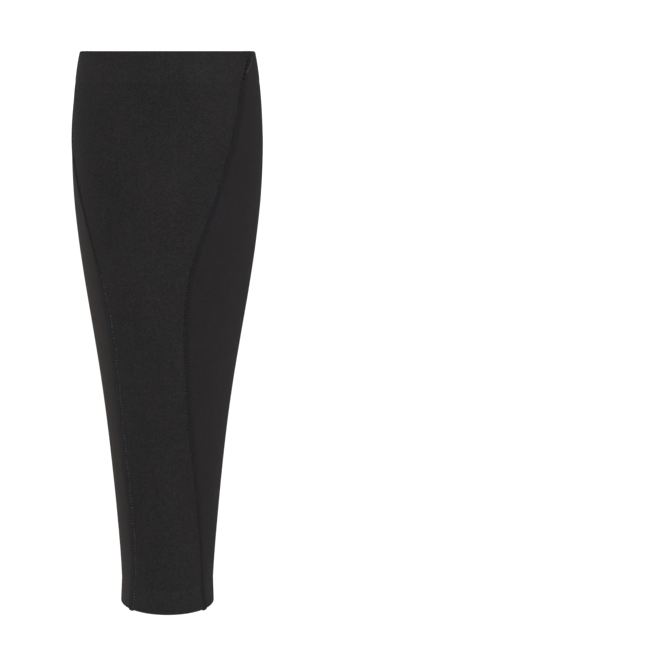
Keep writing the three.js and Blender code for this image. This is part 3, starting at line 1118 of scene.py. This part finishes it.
# Strength of the grain, width and length of a loop in millimetres, and shine of each knit
FRONT_KNIT = {"grain": 0.94, "wale": 0.55, "course": 0.45, "shine": 0.02}
BACK_KNIT = {"grain": 0.8, "wale": 0.46, "course": 0.38, "shine": 0.036}

# The hems' colours are painted a little lighter: painted light for the light they catch from above
HEM_PAINTED_LIGHT = 1.08

# The left seam's threads are painted lighter than the right seam's: painted light for the left light that
# their recessed band misses
LEFT_PAINTED_LIGHT = (1.26, 1.24, 1.18)

# What makes each finish, its colours, how much lighter they are than the sleeve's own, and its settings
FRONTS = ("front_dark", "front_light", "front_cool")
BACKS = ("back_dark", "back_light", "back_cool")
THREADS = ("thread_dark", "thread_light")
FINISHES = {
    "front_knit_finish": (knit_finish, FRONTS, 1, FRONT_KNIT),
    "back_knit_finish": (knit_finish, BACKS, 1, BACK_KNIT),
    "front_hem_finish": (knit_finish, FRONTS, HEM_PAINTED_LIGHT, FRONT_KNIT),
    "back_hem_finish": (knit_finish, BACKS, HEM_PAINTED_LIGHT, BACK_KNIT),
    # The folded cord mixes the back panel's light grains with a painted highlight
    "fold_finish": (knit_finish, ("back_light", "fold_highlight", "fold_highlight"), 1, BACK_KNIT),
    # Painted shade: the needle holes' nearly black finish
    "hole_finish": (thread_finish, ("hole_shade", "hole_shade"), 1, {}),
    "loop_finish": (thread_finish, ("thread_light", "loop_light"), 1, {}),
    "hem_thread_finish": (thread_finish, ("front_dark", "front_light"), 1, {}),
    "left_thread_finish": (thread_finish, THREADS, LEFT_PAINTED_LIGHT, {}),
    "right_thread_finish": (thread_finish, THREADS, 1, {}),
}


def material_named(context, name):
    """One of the sleeve's finishes, made when it is first asked for."""
    found = bpy.data.materials.get(name)
    if found:
        return found
    make, names, lift, settings = FINISHES[name]
    paint = context.scene.sleeve_colours
    return make(name, [np.array(getattr(paint, shade)) * lift for shade in names], **settings)


# Operators


class SLEEVE_OT_panels(bpy.types.Operator):
    """Make the front and back panels"""

    bl_idname = "sleeve.panels"
    bl_label = "Knitted panels"

    def execute(self, context):
        form = Form(context.scene.sleeve_sizes)
        front = material_named(context, "front_knit_finish")
        back = material_named(context, "back_knit_finish")
        make_panel(form, "front_knit", "left", "right", front, "front_panel")
        make_panel(form, "back_knit", "right", "left", back, "back_panel")
        return {"FINISHED"}


class SLEEVE_OT_hems(bpy.types.Operator):
    """Make the turned-in hems of both rims"""

    bl_idname = "sleeve.hems"
    bl_label = "Hems"

    def execute(self, context):
        form = Form(context.scene.sleeve_sizes)
        materials = [material_named(context, "front_hem_finish"), material_named(context, "back_hem_finish")]
        make_hem(form, "upper_hem", 1, materials, "top_hem")
        make_hem(form, "lower_hem", -1, materials, "bottom_hem")
        thread = material_named(context, "hem_thread_finish")
        make_hem_stitches(form, "upper_hem_stitches", 1, thread)
        make_hem_stitches(form, "lower_hem_stitches", -1, thread)
        return {"FINISHED"}


class SLEEVE_OT_seams(bpy.types.Operator):
    """Make the flat seams and their threads"""

    bl_idname = "sleeve.seams"
    bl_label = "Flat seams"

    def execute(self, context):
        form = Form(context.scene.sleeve_sizes)
        for side in ("left", "right"):
            line = SeamLine(form, side)
            thread = material_named(context, f"{side}_thread_finish")
            for make in (make_band, make_needle_rows, make_inner_rows, make_cover_thread, make_edge_loops):
                make(line, thread)
            make_hole_shades(line, material_named(context, "hole_finish"))
            make_light_loops(line, material_named(context, "loop_finish"))
            make_fold_cord(line, material_named(context, "fold_finish"))
        return {"FINISHED"}


# Camera: distance in metres, focal length and sensor in millimetres, tilt, and shift in widths of the picture
CAMERA_DISTANCE = 1.3
CAMERA_FOCUS = 119.35
CAMERA_SENSOR = 36
CAMERA_DROP = math.radians(7.246)
CAMERA_SHIFT = 0.2424

# Floor: radius and height in metres, corners and roughness
FLOOR_RADIUS = 9
FLOOR_HEIGHT = -0.62
FLOOR_CORNERS = 64
FLOOR_ROUGHNESS = 0.9

# Name, place, target, size in metres, power in watts and colour of each light
MIDDLE = (0, 0, -0.1)
LIGHTS = [
    ("left_softbox", (-0.8, 0.8, -0.4), MIDDLE, 0.6, 9.3, (1, 0.93, 0.8)),
    ("right_softbox", (0.85, 0, -0.7), (0, 0, -0.2), 0.6, 2, (1, 0.95, 0.88)),
    ("low_softbox", (0.2, -0.5, -0.5), (0, 0, -0.26), 0.3, 0.33, (1, 1, 1)),
    ("front_softbox", (0.6, -1.8, 0.1), MIDDLE, 1.2, 12, (1, 1, 1)),
    ("top_softbox", (0, -0.9, 1.9), MIDDLE, 1.6, 4, (1, 1, 1)),
]

# Light from all round
STUDIO_COLOUR = (1, 0.985, 0.965, 1)
STUDIO_STRENGTH = 1.15


def soft_light(name, place, target, size, power, tint):
    """A large square light that looks at a point."""
    lamp = bpy.data.lights.new(name, "AREA")
    lamp.shape = "SQUARE"
    lamp.size = size
    lamp.energy = power
    lamp.color = tint
    light = bpy.data.objects.new(name, lamp)
    light.location = place
    direction = np.subtract(target, place)
    flat = math.hypot(direction[0], direction[1])
    light.rotation_euler = (math.atan2(flat, -direction[2]), 0, math.atan2(-direction[0], direction[1]))
    bpy.context.scene.collection.objects.link(light)


class SLEEVE_OT_stage(bpy.types.Operator):
    """Make the pale floor, the soft lights and the camera"""

    bl_idname = "sleeve.stage"
    bl_label = "Stage"

    def execute(self, context):
        scene = context.scene
        bpy.ops.mesh.primitive_circle_add(
            vertices=FLOOR_CORNERS, radius=FLOOR_RADIUS, fill_type="NGON", location=(0, 0, FLOOR_HEIGHT)
        )
        floor = context.object
        floor.name = "floor"
        graph = Graph("pale_floor")
        paint = (*scene.sleeve_colours.floor, 1)
        matt = graph.add("ShaderNodeBsdfPrincipled", {"Base Color": paint, "Roughness": FLOOR_ROUGHNESS})
        graph.add("ShaderNodeOutputMaterial", {"Surface": matt.outputs[0]})
        floor.data.materials.append(graph.material)
        for light in LIGHTS:
            soft_light(*light)
        world = bpy.data.worlds.new("studio")
        world.use_nodes = True
        glow = world.node_tree.nodes["Background"].inputs
        glow["Color"].default_value = STUDIO_COLOUR
        glow["Strength"].default_value = STUDIO_STRENGTH
        scene.world = world
        scene.view_settings.view_transform = "Standard"
        lens = bpy.data.cameras.new("camera")
        lens.lens = CAMERA_FOCUS
        lens.sensor_width = CAMERA_SENSOR
        lens.shift_x = CAMERA_SHIFT
        camera = bpy.data.objects.new("camera", lens)
        camera.location = (0, -CAMERA_DISTANCE, scene.sleeve_sizes.calf_to_upper_rim)
        camera.rotation_euler = (math.pi / 2 - CAMERA_DROP, 0, 0)
        scene.collection.objects.link(camera)
        scene.camera = camera
        return {"FINISHED"}


class SLEEVE_PT_panel(bpy.types.Panel):
    """Buttons and values of the sleeve"""

    bl_label = "Calf sleeve"
    bl_idname = "SLEEVE_PT_panel"
    bl_space_type = "VIEW_3D"
    bl_region_type = "UI"
    bl_category = "Sleeve"

    def draw(self, context):
        for operator in STEPS:
            self.layout.operator(operator.bl_idname)
        for group in (context.scene.sleeve_sizes, context.scene.sleeve_colours):
            for name in group.__annotations__:
                self.layout.prop(group, name)


STEPS = [SLEEVE_OT_panels, SLEEVE_OT_hems, SLEEVE_OT_seams, SLEEVE_OT_stage]
CLASSES = [SleeveSizes, SleeveColours, *STEPS, SLEEVE_PT_panel]


def register():
    for item in CLASSES:
        bpy.utils.register_class(item)
    bpy.types.Scene.sleeve_sizes = bpy.props.PointerProperty(type=SleeveSizes)
    bpy.types.Scene.sleeve_colours = bpy.props.PointerProperty(type=SleeveColours)


def unregister():
    del bpy.types.Scene.sleeve_sizes
    del bpy.types.Scene.sleeve_colours
    for item in reversed(CLASSES):
        bpy.utils.unregister_class(item)


def main():
    register()
    bpy.ops.sleeve.panels()
    bpy.ops.sleeve.hems()
    bpy.ops.sleeve.seams()
    bpy.ops.sleeve.stage()


if __name__ == "__main__":
    main()
